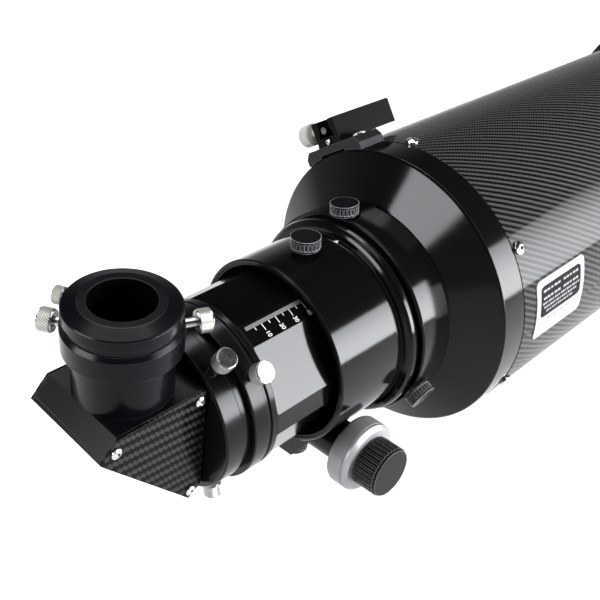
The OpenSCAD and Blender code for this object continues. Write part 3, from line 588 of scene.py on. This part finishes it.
def label_patch(name, x0, x1, s0, s1, mat, lift, round_r, steps=24):
    """A patch that follows the tube's curve, with rounded corners."""
    verts, faces = [], []
    for i in range(steps + 1):
        s = s0 + (s1 - s0) * i / steps
        inset = 0.0
        for e in (s - s0, s1 - s):
            if e < round_r:
                inset = round_r - math.sqrt(max(round_r ** 2 - (round_r - e) ** 2, 0))
        verts += [label_at(x0 + inset, s, lift), label_at(x1 - inset, s, lift)]
        if i:
            j = 2 * i
            faces.append((j - 2, j - 1, j + 1, j))
    mesh_piece(name, verts, faces, mat, "telescope")


def label_bars(name, rows, mat, lift):
    """Rows of (top, bottom, start, end, count, space) that stand in for print."""
    bars = []
    for s0, s1, x0, x1, count, space in rows:
        step = (x1 - x0) / count
        for i in range(count):
            # the gaps differ a little, like those between words
            gap = space * (1 + 0.6 * ((i * 7) % 3))
            bars.append((x0 + i * step, x0 + (i + 1) * step - gap, s0, s1))
    verts, faces = flat_quads(bars, lambda x, s: label_at(x, s, lift))
    mesh_piece(name, verts, faces, mat, "telescope")


dark_ink = ink("label_dark", (0.0022, 0.0022, 0.0024), 0.35)
pale_ink = ink("label_pale", (0.13, 0.13, 0.133), 0.4)
grey_ink = ink("label_grey", (0.06, 0.06, 0.061), 0.45)
label_patch("label_panel", 243.6, 290.8, -15.4, 5.6, dark_ink, 0.48, 3.2)
label_bars("label_title", [(-12.6, -6.2, 246.4, 267.0, 5, 0.7), (-12.6, -6.2, 269.6, 288.6, 5, 0.7)],
           pale_ink, 0.52)
label_bars("label_rows", [(-4.4, -2.9, 245.6, 289.6, 19, 0.5), (-1.4, 0.1, 247.4, 286.6, 17, 0.5),
                          (1.6, 3.0, 250.0, 282.0, 14, 0.5)], pale_ink, 0.52)
label_bars("label_lines", [(8.2, 9.2, 252.0, 283.0, 12, 0.9), (11.6, 12.3, 255.0, 279.0, 12, 0.9)],
           grey_ink, 0.5)


def index_mark():
    """The small white triangle at the focuser's front ring, from (x, angle) corners."""
    corners = ((150.4, 92.4), (150.4, 95.6), (153.4, 94.0))
    verts = [axis_point(x) + around(angle) * INDEX_R * MM for x, angle in corners]
    mesh_piece("rotation_index", verts, [(0, 1, 2)], white_ink, "focuser")


index_mark()


# ---------- stage ----------

LAMP_COLOR = (0.94, 0.965, 1.0)     # the soft boxes are a little cool


def floor():
    """White paper under the telescope, far larger than the view."""
    me = bpy.data.meshes.new("floor")
    s = 6.0
    me.from_pydata([(-s, -s, 0), (s, -s, 0), (s, s, 0), (-s, s, 0)], [], [(0, 1, 2, 3)])
    o = bpy.data.objects.new("floor", me)
    bpy.context.scene.collection.objects.link(o)
    n = Net("floor_paper")
    n.set(Base_Color=n.mix(n.noise(3, 2), (0.74, 0.74, 0.74), (0.77, 0.77, 0.77)), Roughness=0.9, IOR=1.3)
    me.materials.append(n.mat)


floor()

world = bpy.data.worlds.new("studio")
bpy.context.scene.world = world
world.use_nodes = True
# pale at the horizon, dark overhead
sky = world.node_tree
direction = sky.nodes.new("ShaderNodeTexCoord")
parts = sky.nodes.new("ShaderNodeSeparateXYZ")
fade = sky.nodes.new("ShaderNodeMapRange")
fade.interpolation_type = "SMOOTHSTEP"
for socket, value in (("From Min", 0.0), ("From Max", 0.55), ("To Min", 0.62), ("To Max", 0.03)):
    fade.inputs[socket].default_value = value
sky.links.new(direction.outputs["Generated"], parts.inputs[0])
sky.links.new(parts.outputs["Z"], fade.inputs["Value"])
sky.links.new(fade.outputs["Result"], sky.nodes["Background"].inputs["Strength"])
sky.nodes["Background"].inputs["Color"].default_value = (1, 1, 1, 1)


def softbox(name, centre, aim, width, height, radiance, spread=180):
    """A rectangular soft light with its long side level, facing a point."""
    c, t = Vector(centre), Vector(aim)
    d = (c - t).normalized()
    side = Vector((0, 0, 1)).cross(d)
    side = side.normalized() if side.length > 1e-4 else Vector((1, 0, 0))
    top = d.cross(side)
    li = bpy.data.lights.new(name, "AREA")
    li.shape = "RECTANGLE"
    li.size = width
    li.size_y = height
    li.energy = radiance * math.pi * width * height
    li.spread = math.radians(spread)
    li.color = LAMP_COLOR
    o = bpy.data.objects.new(name, li)
    bpy.context.scene.collection.objects.link(o)
    o.matrix_world = Matrix.Translation(c) @ Matrix((side, top, d)).transposed().to_4x4()


softbox("side_box", axis_point(840, -780, 172), axis_point(620, -250, 122), 1.15, 0.54, 13.5, 84)
softbox("rear_box", axis_point(-1130, 250, 592), axis_point(200, -30, 72), 0.75, 0.50, 30.0)
softbox("far_box", axis_point(520, 560, 1450), axis_point(0, 0, 75), 0.90, 0.60, 16.0)

sun = bpy.data.lights.new("ceiling", "SUN")
sun.energy = 2.5
sun.angle = math.radians(50)
sun_ob = bpy.data.objects.new("ceiling", sun)
bpy.context.scene.collection.objects.link(sun_ob)

# ---------- camera ----------

cam_data = bpy.data.cameras.new("camera")
cam = bpy.data.objects.new("camera", cam_data)
bpy.context.scene.collection.objects.link(cam)
cam_data.sensor_fit = "HORIZONTAL"
cam_data.angle = math.radians(37.34)
cam_data.clip_start = 0.01
forward = Vector((0.6162, 0.5757, -0.5374)).normalized()
up = Vector((0.3635, 0.3974, 0.8426))
up = (up - forward * up.dot(forward)).normalized()
right = forward.cross(up)
rot = Matrix((right, up, -forward)).transposed()
cam.matrix_world = Matrix.Translation(axis_point(-191.5, -297.6, 303.5)) @ rot.to_4x4()
bpy.context.scene.camera = cam

bpy.context.scene.view_settings.view_transform = "Standard"
